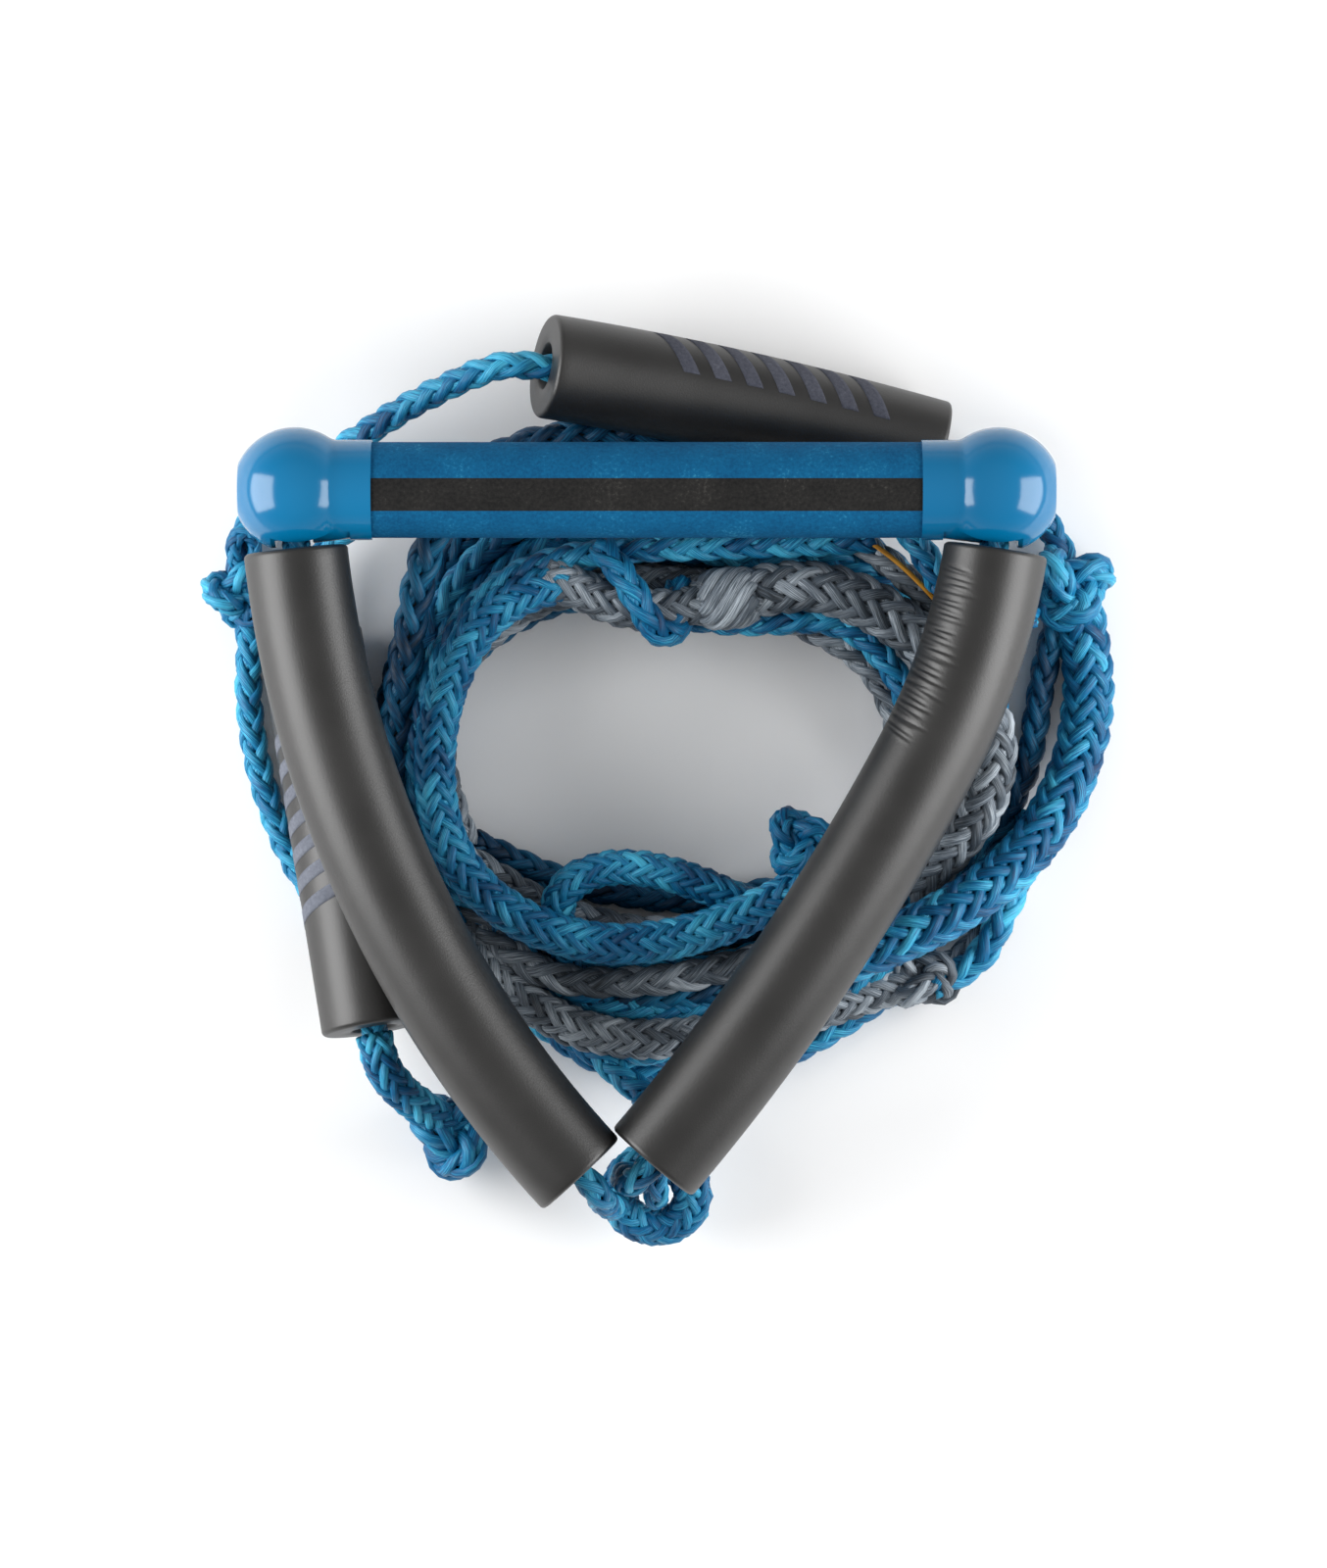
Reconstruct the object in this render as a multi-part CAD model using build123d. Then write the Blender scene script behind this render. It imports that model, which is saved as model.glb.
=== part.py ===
from build123d import *
import math
import os

os.makedirs("parts", exist_ok=True)

# A surf tow rope lying on a floor, seen from above: +X runs along the handle bar, +Y points from the
# bridle eye to the bar, +Z is up and z = 0 is the floor. All sizes are in millimetres.

# Handle bar
BAR_LENGTH = 254.0  # over both end caps
BAR_Y = 82.5
BAR_Z = 62.0
TUBE_R = 12.7
TUBE_WALL = 1.6
TUBE_HALF = 94.0
PLUG_FLANGE = 1.5
PLUG_SPIGOT = 8.0
GRIP_R = 14.9
GRIP_HALF = 85.3
STRIPE_DEPTH = 0.7
STRIPE_HALF_ANGLE = 20.0
STRIPE_TILT = 8.0

# End caps: a neck that holds the tube, and a ball that holds the bridle's stopper knot
CAP_NECK_R = 15.6
CAP_BALL_R = 19.5
CAP_BALL_X = 109.3
CAP_FILLET = 5.0
CAP_END_FILLET = 3.0
CAP_CAVITY_R = 11.2
STOPPER_R = 10.2
SLOT_HALF_WIDTH = 5.8
ROLL_LIMITS = (25.0, 5.0)  # the rope swings down and up by these angles
# Seat towards the float: a cone about the bar, as (X, radius) at its two ends
SEAT_LINE = ((92.0, 15.1), (124.0, 19.0))
SEAT_ANGLES = (52.0, 32.0)  # how far the seat reaches down and up round the bar

# Ropes
ROPE_R = 4.75
THICK_ROPE_R = 8.6

# Bridle: each leg is a rope in a bent foam float. A leg leaves its ball with a heading measured from
# -Y towards the middle, and then follows arcs of (radius, turn in degrees).
LEG_X = 110.6
LEG_HEADING = {"left": 3.0, "right": 4.0}
LEG_ARCS = {"left": [(337.8, 40.0)], "right": [(211.0, 24.0), (697.0, 12.42)]}
FLOAT_R = 16.2
FLOAT_BORE_R = 6.6
FLOAT_RIM = 1.5
FLOAT_START = 18.5  # along the leg, from the bar's axis

# Bridle eye, a rope ring that the main rope's hitch is linked through like a chain
EYE_R = 11.9
EYE_ROPE_R = 6.6
EYE_SLOPE = 25.0
EYE_TOP = (2.8, -127.6, 29.0)
HITCH_ROPE_R = 4.4

# Floats on the main rope: the ends and the middle of each centre line
LINE_FLOAT_R = 16.4
LINE_FLOAT_BORE_R = 7.2
TOP_FLOAT_LINE = ((-32.0, 122.1, 44.0), (29.6, 111.3, 27.6), (92.0, 96.2, 16.7))
SIDE_FLOAT_LINE = ((-106.9, 39.0, 15.94), (-85.9, -85.9, 33.6))
FLOAT_TRAVEL = 8.5

# Coil: a ring of turns about its centre. Each reach is its outer edge's distance from the centre,
# at even steps from +X anticlockwise.
COIL_CENTRE = (8.2, 2.4)
COIL_REACH = (117, 108, 94, 97, 104, 101, 86, 89, 101, 106, 101, 107)
COIL_HOLE = (67.0, 38.0)
COIL_HOLE_POWER = 3.0
COIL_STEPS = 24
COIL_HEIGHT = 25.0
COIL_LOWER_HEIGHT = 17.0
COIL_SHOULDER = 8.0

# Routes of the stretches of rope outside the coil
TOP_ROPE_START = (
    (-129.5, 57.5, 8.0), (-130.9, 67.5, 6.0), (-124.3, 77.2, 5.5), (-112.2, 86.6, 8.0),
    (-97.4, 96.9, 15.5), (-81.0, 107.3, 25.5), (-65.3, 115.1, 35.5), (-52.0, 120.6, 42.8),
)
TOP_ROPE_END = ((108.1, 91.3, 13.0), (121.2, 82.0, 8.0), (130.4, 69.9, 7.5), (135.0, 56.1, 10.0))
SIDE_ROPE_START = ((-62.0, 84.0, 21.0), (-78.0, 80.4, 22.0), (-93.0, 74.0, 20.5), (-104.5, 63.3, 17.3))
SIDE_ROPE_END = ((-76.6, -108.3, 30.5), (-66.2, -114.4, 22.0), (-58.0, -116.5, 13.0))
LEFT_ROPE = (
    (-127.6, 48.5, 7.0), (-126.1, 36.9, 5.2), (-127.3, 20.1, 5.3), (-125.2, 2.7, 5.2), (-120.6, -14.9, 5.3),
    (-113.9, -31.7, 5.2), (-104.0, -46.9, 5.3), (-90.8, -57.5, 5.2), (-75.9, -63.0, 6.5), (-60.4, -65.7, 9.0),
)
THICK_BLUE_ROPE = (
    (135.8, 51.0, 13.0), (139.1, 36.3, 9.6), (140.6, 20.1, 9.4), (138.0, 1.8, 11.5), (130.9, -15.9, 18.0),
    (117.8, -33.2, 26.0), (99.5, -47.4, 32.5), (78.2, -58.0, 34.4), (57.4, -66.2, 29.0),
)
THICK_GREY_ROPE = (
    (29.5, 50.7, 32.0), (46.2, 54.6, 34.3), (64.6, 50.6, 34.2), (83.3, 39.9, 34.3), (99.6, 24.7, 34.2),
    (108.7, 7.9, 34.3), (108.0, -10.9, 31.5), (97.5, -26.7, 26.0), (82.8, -41.9, 18.0),
)
BOAT_LOOP = (
    (-20.8, -69.7, 17.0), (-28.5, -57.0, 24.5), (-28.2, -42.6, 29.6), (-15.4, -34.8, 30.2),
    (0.9, -35.3, 30.0), (16.8, -40.2, 30.1), (32.3, -47.0, 27.0), (46.4, -55.0, 20.0),
)
TAIL_ROPE = ((117.6, -33.9, 14.0), (115.3, -46.4, 8.0), (108.6, -57.9, 5.6), (98.3, -66.6, 6.5), (87.7, -70.2, 11.0))
BRIDLE_ROPE_DROP = {
    "left": ((-16.0, -134.8, 61.0), (-14.0, -138.2, 55.0), (-13.2, -139.9, 46.5), (-12.2, -141.6, 37.0)),
    "right": ((-2.3, -131.2, 60.8), (-5.4, -133.4, 55.0), (-7.0, -132.4, 47.0), (-7.1, -131.8, 38.0)),
}
EYE_SHOULDER_ANGLE = {"left": 200.0, "right": 150.0}
LEAD_ROPE = ((2.8, -108.4, 24.0), (-6.0, -104.0, 19.0), (-14.8, -95.0, 15.0))

# Knots: centre, radius, half length and direction of each barrel
KNOTS = {
    "right_knot": ((136.4, 52.7, 11.6), 11.5, 12.0, (0.2, -1.0, 0.0)),
    "left_knot": ((-128.2, 53.2, 9.1), 9.0, 8.5, (0.0, 1.0, 0.0)),
    "bottom_left_knot": ((-57.9, -117.0, 11.6), 11.5, 13.5, (0.5, -0.8, 0.0)),
    "lower_grey_knot": ((87.7, -70.7, 11.0), 9.0, 9.5, (1.0, 0.35, 0.0)),
    "blue_hitch": ((3.0, 50.6, 33.8), 8.4, 9.5, (0.25, 1.0, 0.0)),
    "grey_whipping": ((25.5, 50.2, 34.2), 8.8, 8.0, (0.35, 1.0, 0.0)),
    "dark_knot": ((47.2, -25.6, 32.3), 7.0, 9.5, (1.0, 0.25, 0.0)),
    "hitch_knot": ((2.8, -109.9, 28.0), 7.0, 6.5, (0.0, 1.0, 0.0)),
}

# The model's origin is under the middle of everything but the main rope.
ORIGIN_Y = -8.866


def write(name, solid):
    """Writes one node in the part's frame."""
    export_step(Pos(0, -ORIGIN_Y, 0) * solid, f"parts/{name}.step")


def on_bar(solid):
    """Moves a solid from the bar's own axis, X through the origin, to its place."""
    return Pos(0, BAR_Y, BAR_Z) * solid


def along_x(solid):
    return Rot(0, 90, 0) * solid


def handle_tube():
    """Aluminium core of the bar."""
    wall = Cylinder(TUBE_R, 2 * TUBE_HALF) - Cylinder(TUBE_R - TUBE_WALL, 2 * TUBE_HALF)
    return on_bar(along_x(wall))


def foam_core():
    """Closed foam inside the tube, which keeps the bar afloat."""
    return on_bar(along_x(Cylinder(TUBE_R - TUBE_WALL, 2 * (TUBE_HALF - PLUG_SPIGOT))))


def end_plug(side):
    """Plug that closes one end of the tube."""
    spigot = Pos(0, 0, TUBE_HALF - PLUG_SPIGOT / 2) * Cylinder(TUBE_R - TUBE_WALL, PLUG_SPIGOT)
    flange = Pos(0, 0, TUBE_HALF + PLUG_FLANGE / 2) * Cylinder(TUBE_R, PLUG_FLANGE)
    return on_bar(Rot(0, 90 * side, 0) * (spigot + flange))


def stripe_sector():
    """Wedge that holds the grip's stripe, opening upwards and a little towards the bridle."""
    reach = 2 * GRIP_R
    half = math.radians(STRIPE_HALF_ANGLE)
    corner = (reach * math.cos(half), reach * math.sin(half))
    face = make_face(Polyline((0, 0), corner, (corner[0], -corner[1]), close=True))
    wedge = extrude(face, amount=GRIP_HALF, both=True)
    return Rot(STRIPE_TILT, 0, 0) * Rot(0, 90, 0) * Rot(0, 0, 180) * wedge


def stripe_ring():
    ring = Cylinder(GRIP_R, 2 * GRIP_HALF) - Cylinder(GRIP_R - STRIPE_DEPTH, 2 * GRIP_HALF)
    return along_x(ring)


def grip_stripe():
    """Black strip let into the grip."""
    return on_bar(stripe_ring() & stripe_sector())


def grip_sleeve():
    """Grip sleeve over the tube, with the groove for its strip."""
    sleeve = along_x(Cylinder(GRIP_R, 2 * GRIP_HALF) - Cylinder(TUBE_R, 2 * GRIP_HALF))
    return on_bar(sleeve - (stripe_ring() & stripe_sector()))


def slot_cutter():
    """Room for the rope to swing out of the ball over the handle's whole roll."""
    down, up = (math.radians(limit + 2) for limit in ROLL_LIMITS)
    reach = 2 * CAP_BALL_R
    half = SLOT_HALF_WIDTH
    outline = Polyline(
        (half, 0),
        (half * math.cos(down) + reach * math.sin(down), half * math.sin(down) - reach * math.cos(down)),
        (-half * math.cos(up) - reach * math.sin(up), half * math.sin(up) - reach * math.cos(up)),
        (-half, 0),
        close=True,
    )
    wedge = extrude(make_face(outline), amount=SLOT_HALF_WIDTH, both=True)
    return Rot(0, 90, 0) * wedge


def arc_between(centre, start, end):
    """Short arc about a centre, in the plane of the cap's profile."""
    middle = (Vector(*start) + Vector(*end)) * 0.5 - Vector(*centre)
    radius = (Vector(*start) - Vector(*centre)).length
    return ThreePointArc(start, Vector(*centre) + middle.normalized() * radius, end)


def cap_profile():
    """Half profile of a cap: neck, hollow curve, ball and flattened end, as (X, radius)."""
    ball = (CAP_BALL_X, 0)
    hollow_r = CAP_NECK_R + CAP_FILLET
    hollow_x = CAP_BALL_X - math.sqrt((CAP_BALL_R + CAP_FILLET) ** 2 - hollow_r**2)
    share = CAP_BALL_R / (CAP_BALL_R + CAP_FILLET)
    ball_start = (CAP_BALL_X + share * (hollow_x - CAP_BALL_X), share * hollow_r)
    rim_x = BAR_LENGTH / 2 - CAP_END_FILLET
    rim_r = math.sqrt((CAP_BALL_R - CAP_END_FILLET) ** 2 - (rim_x - CAP_BALL_X) ** 2)
    share = CAP_BALL_R / (CAP_BALL_R - CAP_END_FILLET)
    ball_end = (CAP_BALL_X + share * (rim_x - CAP_BALL_X), share * rim_r)
    edges = [
        Polyline((GRIP_HALF, 0), (GRIP_HALF, CAP_NECK_R), (hollow_x, CAP_NECK_R)),
        arc_between((hollow_x, hollow_r), (hollow_x, CAP_NECK_R), ball_start),
        arc_between(ball, ball_start, ball_end),
        arc_between((rim_x, rim_r), ball_end, (BAR_LENGTH / 2, rim_r)),
        Polyline((BAR_LENGTH / 2, rim_r), (BAR_LENGTH / 2, 0), (GRIP_HALF, 0)),
    ]
    return make_face(edges)


def seat_cutter():
    """What the ball loses on its bridle side: all outside a cone about the bar, within a sector."""
    (near_x, near_r), (far_x, far_r) = SEAT_LINE
    reach = 2 * CAP_BALL_R
    outside = make_face(Polyline((near_x, near_r), (far_x, far_r), (far_x, reach), (near_x, reach), close=True))
    down, up = SEAT_ANGLES
    return revolve(Rot(180 - up, 0, 0) * outside, Axis.X, down + up)


def cap(side):
    """End cap: neck and ball in one moulding, with the knot's cavity, the rope's slot and the float's seat."""
    body = revolve(cap_profile(), axis=Axis.X)
    tube_end = TUBE_HALF + PLUG_FLANGE
    socket = Pos((GRIP_HALF + tube_end) / 2, 0, 0) * along_x(Cylinder(TUBE_R, tube_end - GRIP_HALF))
    cavity = Pos(CAP_BALL_X, 0, 0) * Sphere(CAP_CAVITY_R)
    body = body - socket - cavity - Pos(CAP_BALL_X, 0, 0) * slot_cutter() - seat_cutter()
    if side < 0:
        body = mirror(body, about=Plane.YZ)
    return on_bar(body)


def leg_walk(side, distance):
    """Arcs of one leg up to a distance from its ball: each arc's start, heading, radius and turn."""
    sign = 1 if side == "left" else -1
    x, y = -sign * LEG_X, BAR_Y
    heading = LEG_HEADING[side]
    arcs = []
    for radius, turn in LEG_ARCS[side]:
        step = min(turn, math.degrees(distance / radius))
        arcs.append((x, y, heading, radius, step))
        distance -= radius * math.radians(step)
        before, after = math.radians(heading), math.radians(heading + step)
        x += sign * radius * (math.cos(before) - math.cos(after))
        y -= radius * (math.sin(after) - math.sin(before))
        heading += step
        if distance < 1e-6:
            break
    return arcs, (x, y, heading)


def leg_length(side):
    return sum(radius * math.radians(turn) for radius, turn in LEG_ARCS[side])


def leg_direction(side, heading):
    sign = 1 if side == "left" else -1
    angle = math.radians(heading)
    return Vector(sign * math.sin(angle), -math.cos(angle), 0)


def leg_tube(side, radius, start, end):
    """Solid round bar along one leg between two distances from its ball."""
    arcs, _ = leg_walk(side, end)
    _, (x, y, heading) = leg_walk(side, start)
    sign = 1 if side == "left" else -1
    pieces = []
    for arc_x, arc_y, arc_heading, arc_radius, turn in arcs:
        if heading >= arc_heading + turn:
            continue
        left_over = arc_heading + turn - heading
        tangent = leg_direction(side, heading)
        pieces.append(
            JernArc(start=(x, y), tangent=(tangent.X, tangent.Y), radius=arc_radius, arc_size=sign * left_over)
        )
        end_point = pieces[-1] @ 1
        x, y, heading = end_point.X, end_point.Y, arc_heading + turn
    path = Wire(pieces)
    section = Plane(origin=path @ 0, z_dir=path % 0) * Circle(radius)
    return Pos(0, 0, BAR_Z) * sweep(section, path=path)


def rounded_rims(solid, radius):
    """Rounds the outer edges of a float's two ends."""
    rims = [e for e in solid.edges() if e.geom_type == GeomType.CIRCLE and abs(e.radius - radius) < 0.01]
    ends = [e for e in rims if e.is_closed]
    return fillet(ends, FLOAT_RIM)


def bridle_float(side):
    """Bent foam tube round one bridle leg."""
    end = leg_length(side)
    outer = rounded_rims(leg_tube(side, FLOAT_R, FLOAT_START, end), FLOAT_R)
    return outer - leg_tube(side, FLOAT_BORE_R, FLOAT_START, end)


def eye_point(angle):
    """Point of the eye's centre line, from +X towards the eye's top."""
    slope = math.radians(EYE_SLOPE)
    up = Vector(0, math.cos(slope), math.sin(slope))
    centre = Vector(*EYE_TOP) - up * EYE_R
    turn = math.radians(angle)
    return centre + Vector(EYE_R * math.cos(turn), 0, 0) + up * (EYE_R * math.sin(turn))


def bridle_eye():
    centre = (eye_point(90) + eye_point(270)) * 0.5
    return Pos(*centre) * Rot(EYE_SLOPE, 0, 0) * Torus(EYE_R, EYE_ROPE_R)


def stopper_knot(side):
    """Knot that keeps the bridle rope in the ball, round so that the handle rolls about it."""
    return on_bar(Pos(CAP_BALL_X * side, 0, 0) * Sphere(STOPPER_R))


def bend_radii(points):
    """Largest arc that the two runs at each corner allow."""
    radii = []
    for before, corner, after in zip(points, points[1:], points[2:]):
        run_in, run_out = corner - before, after - corner
        half_turn = math.radians(run_in.get_angle(run_out)) / 2
        radii.append(0.45 * min(run_in.length, run_out.length) / math.tan(half_turn))
    return radii


def rope_tube(name, route, radius):
    """Rope along a route of straight runs joined by arcs."""
    points = [Vector(*point) for point in route]
    radii = bend_radii(points)
    path = FilletPolyline(*points, radius=radii)
    section = Plane(origin=path @ 0, z_dir=path % 0) * Circle(radius)
    tube = sweep(section, path=path)
    expected = math.pi * radius**2 * path.length
    print(
        f"{name}: length {path.length:.1f}, smallest bend {min(radii):.1f} mm",
        "volume ratio", round(tube.volume / expected, 4),
    )
    return tube


def bridle_rope(side):
    """Rope of one leg, from the stopper knot through the float and down into the eye."""
    end = leg_length(side)
    _, (x, y, _) = leg_walk(side, end)
    shoulder = eye_point(EYE_SHOULDER_ANGLE[side])
    route = [(x, y, BAR_Z), *BRIDLE_ROPE_DROP[side], shoulder]
    drop = rope_tube(f"bridle_rope_{side}", route, ROPE_R)
    return leg_tube(side, ROPE_R, 0, end) + drop


def barrel(centre, radius, half_length, direction):
    """Knot as a plain rounded barrel."""
    body = Cylinder(radius, 2 * half_length)
    ends = [e for e in body.edges() if e.geom_type == GeomType.CIRCLE]
    body = fillet(ends, 0.7 * min(radius, half_length))
    return Plane(origin=centre, z_dir=direction) * body


def coil_outline(shrink):
    """Closed outer outline of the coil's turns, drawn in by a distance."""
    points = []
    for step, reach in enumerate(COIL_REACH):
        angle = math.radians(360 * step / len(COIL_REACH))
        distance = reach - shrink
        points.append(
            (COIL_CENTRE[0] + distance * math.cos(angle), COIL_CENTRE[1] + distance * math.sin(angle))
        )
    return make_face(Spline(points, periodic=True))


def coil_hole():
    """Open middle of the coil, a soft rectangle."""
    points = []
    for step in range(COIL_STEPS):
        angle = math.radians(360 * step / COIL_STEPS)
        sides = [abs(math.cos(angle)) / COIL_HOLE[0], abs(math.sin(angle)) / COIL_HOLE[1]]
        distance = sum(side**COIL_HOLE_POWER for side in sides) ** (-1 / COIL_HOLE_POWER)
        points.append(
            (COIL_CENTRE[0] + distance * math.cos(angle), COIL_CENTRE[1] + distance * math.sin(angle))
        )
    return make_face(Spline(points, periodic=True))


def coil():
    """Outer shape of the loosely wound rope, lower at its edge."""
    lower = extrude(coil_outline(0), amount=COIL_LOWER_HEIGHT)
    upper = extrude(coil_outline(COIL_SHOULDER), amount=COIL_HEIGHT)
    return lower + upper - extrude(coil_hole(), amount=COIL_HEIGHT)


def line_float(path):
    """Foam float threaded on the main rope."""
    section = Plane(origin=path @ 0, z_dir=path % 0)
    outer = rounded_rims(sweep(section * Circle(LINE_FLOAT_R), path=path), LINE_FLOAT_R)
    return outer - sweep(section * Circle(LINE_FLOAT_BORE_R), path=path)


def top_float_path():
    return ThreePointArc(*TOP_FLOAT_LINE)


def side_float_path():
    return Line(*SIDE_FLOAT_LINE)


def top_float_rope():
    """Rope from the left knot through the top float to the right knot."""
    path = top_float_path()
    inside = [path @ 0 - (path % 0) * FLOAT_TRAVEL, path @ 0.3, path @ 0.65, path @ 1]
    return rope_tube("top_float_rope", [*TOP_ROPE_START, *inside, *TOP_ROPE_END], ROPE_R)


def side_float_rope():
    """Rope from the coil through the side float to the bottom left knot."""
    top, bottom = (Vector(*point) for point in SIDE_FLOAT_LINE)
    overrun = (bottom - top).normalized() * FLOAT_TRAVEL
    straight = [top - overrun, bottom + overrun]
    return rope_tube("side_float_rope", [*SIDE_ROPE_START, *straight, *SIDE_ROPE_END], ROPE_R)


def hitch_loop():
    """Loop of the main rope through the eye."""
    return Pos(*EYE_TOP) * along_x(Torus(EYE_R, HITCH_ROPE_R))


write("handle_tube", handle_tube())
write("foam_core", foam_core())
write("grip_sleeve", grip_sleeve())
write("grip_stripe", grip_stripe())
for side_name, side_sign in (("left", -1), ("right", 1)):
    write(f"end_plug_{side_name}", end_plug(side_sign))
    write(f"cap_{side_name}", cap(side_sign))
    write(f"stopper_knot_{side_name}", stopper_knot(side_sign))
    write(f"bridle_rope_{side_name}", bridle_rope(side_name))
    write(f"bridle_float_{side_name}", bridle_float(side_name))
write("bridle_eye", bridle_eye())
write("top_float", line_float(top_float_path()))
write("side_float", line_float(side_float_path()))
write("coil", coil())
write("top_float_rope", top_float_rope())
write("side_float_rope", side_float_rope())
write("left_rope", rope_tube("left_rope", LEFT_ROPE, ROPE_R))
write("thick_blue_rope", rope_tube("thick_blue_rope", THICK_BLUE_ROPE, THICK_ROPE_R))
write("thick_grey_rope", rope_tube("thick_grey_rope", THICK_GREY_ROPE, THICK_ROPE_R))
write("boat_loop", rope_tube("boat_loop", BOAT_LOOP, ROPE_R))
write("tail_rope", rope_tube("tail_rope", TAIL_ROPE, ROPE_R))
write("lead_rope", rope_tube("lead_rope", LEAD_ROPE, ROPE_R))
write("hitch_loop", hitch_loop())
for knot_name, shape in KNOTS.items():
    write(knot_name, barrel(*shape))
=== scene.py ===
"""Tow rope handle: a short bar with a foam-floated bridle, lying on a loose coil of sectioned braided rope.

Lengths are in millimetres in the layout's own plan, with X along the bar and Y up the plan.
place() moves them into the frame, whose units are metres.
"""

import math

import bpy
import numpy as np
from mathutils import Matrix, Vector


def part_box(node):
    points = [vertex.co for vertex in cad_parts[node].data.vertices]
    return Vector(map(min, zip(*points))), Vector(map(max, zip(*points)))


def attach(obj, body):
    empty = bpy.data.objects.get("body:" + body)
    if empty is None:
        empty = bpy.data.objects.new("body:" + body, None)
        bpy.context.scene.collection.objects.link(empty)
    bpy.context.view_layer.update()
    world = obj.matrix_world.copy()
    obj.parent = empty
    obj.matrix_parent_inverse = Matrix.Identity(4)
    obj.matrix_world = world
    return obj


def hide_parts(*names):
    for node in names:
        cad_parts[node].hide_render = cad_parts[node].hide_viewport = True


MM = 0.001
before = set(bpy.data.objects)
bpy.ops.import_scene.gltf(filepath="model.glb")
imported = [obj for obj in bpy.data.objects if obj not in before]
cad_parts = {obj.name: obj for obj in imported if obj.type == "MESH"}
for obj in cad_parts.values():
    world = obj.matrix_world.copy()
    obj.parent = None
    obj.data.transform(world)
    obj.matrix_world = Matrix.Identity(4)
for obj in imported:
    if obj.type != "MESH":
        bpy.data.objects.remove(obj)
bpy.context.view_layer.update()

# ---- places taken from the frame -------------------------------------------------------------

BAR_PLAN_Y = 82.5  # the bar's axis in the layout
grip_low, grip_high = (np.array(corner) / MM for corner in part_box("grip_sleeve"))
BAR_CENTRE = (grip_low + grip_high) / 2
PLAN_SHIFT = np.array([0.0, BAR_CENTRE[1] - BAR_PLAN_Y, 0.0])
BAR_Z = BAR_CENTRE[2]
GRIP_R = (grip_high[2] - grip_low[2]) / 2
GRIP_HALF = (grip_high[0] - grip_low[0]) / 2

# ---- sizes -----------------------------------------------------------------------------------

THIN = 9.5  # diameters of the rope
THICK = 17.2
FLOAT_R = 16.2  # foam on the bridle's legs
FLOAT_BORE_R = 6.6
FLOAT_RIM = 1.5  # radius of every float's rounded edges
FLOAT_START = 18.5  # from the ball's middle to the float's end
LINE_FLOAT_R = 16.4  # foam threaded on the main rope
LINE_FLOAT_BORE_R = 7.2
FLOAT_TRAVEL = 8.5  # straight rope past each float's end, for its slide
LEG_X = 110.6  # where a leg leaves its ball
LEG_HEADING = {"left": 3.0, "right": 4.0}  # degrees inward, as it leaves
LEG_ARCS = {"left": [(337.8, 40.0)], "right": [(211.0, 24.0), (697.0, 12.42)]}  # radius, degrees
EYE_R = 11.9
EYE_ROPE_R = 6.6
EYE_SLOPE = 25.0  # degrees
EYE_TOP = np.array([2.8, -127.6, 29.0])
HITCH_DIAMETER = 8.5

# ---- routes of the rope, as control points of one smooth curve each ----------------------------

TOP_FLOAT_LINE = ((-32.0, 122.1, 44.0), (29.6, 111.3, 27.6), (92.0, 96.2, 16.7))
SIDE_FLOAT_LINE = ((-106.9, 39.0, 15.94), (-85.9, -85.9, 33.6))
TOP_ROPE_START = [
    (-129.5, 57.5, 8), (-130.9, 67.5, 6), (-124.3, 77.2, 5.5), (-112.2, 86.6, 8),
    (-97.4, 96.9, 15.5), (-81, 107.3, 25.5), (-65.3, 115.1, 35.5), (-52, 120.6, 42.8),
]
TOP_ROPE_END = [(108.1, 91.3, 13), (121.2, 82, 8), (130.4, 69.9, 7.5), (135, 56.1, 10)]
SIDE_ROPE_START = [(-62, 84, 21), (-78, 80.4, 22), (-93, 74, 20.5), (-104.5, 63.3, 17.3)]
SIDE_ROPE_END = [(-82, -100.5, 33.6), (-76, -107, 28.8), (-69, -112.5, 21.5), (-61, -117.5, 14)]
BRIDLE_DROP = {
    "left": [(-16.0, -134.8, 61.0), (-14.0, -138.2, 55.0), (-13.2, -139.9, 46.5), (-12.2, -141.6, 37.0)],
    "right": [(-2.3, -131.2, 60.8), (-5.4, -133.4, 55.0), (-7.0, -132.4, 47.0), (-7.1, -131.8, 38.0)],
}
EYE_SHOULDER = {"left": 200.0, "right": 150.0}
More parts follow.
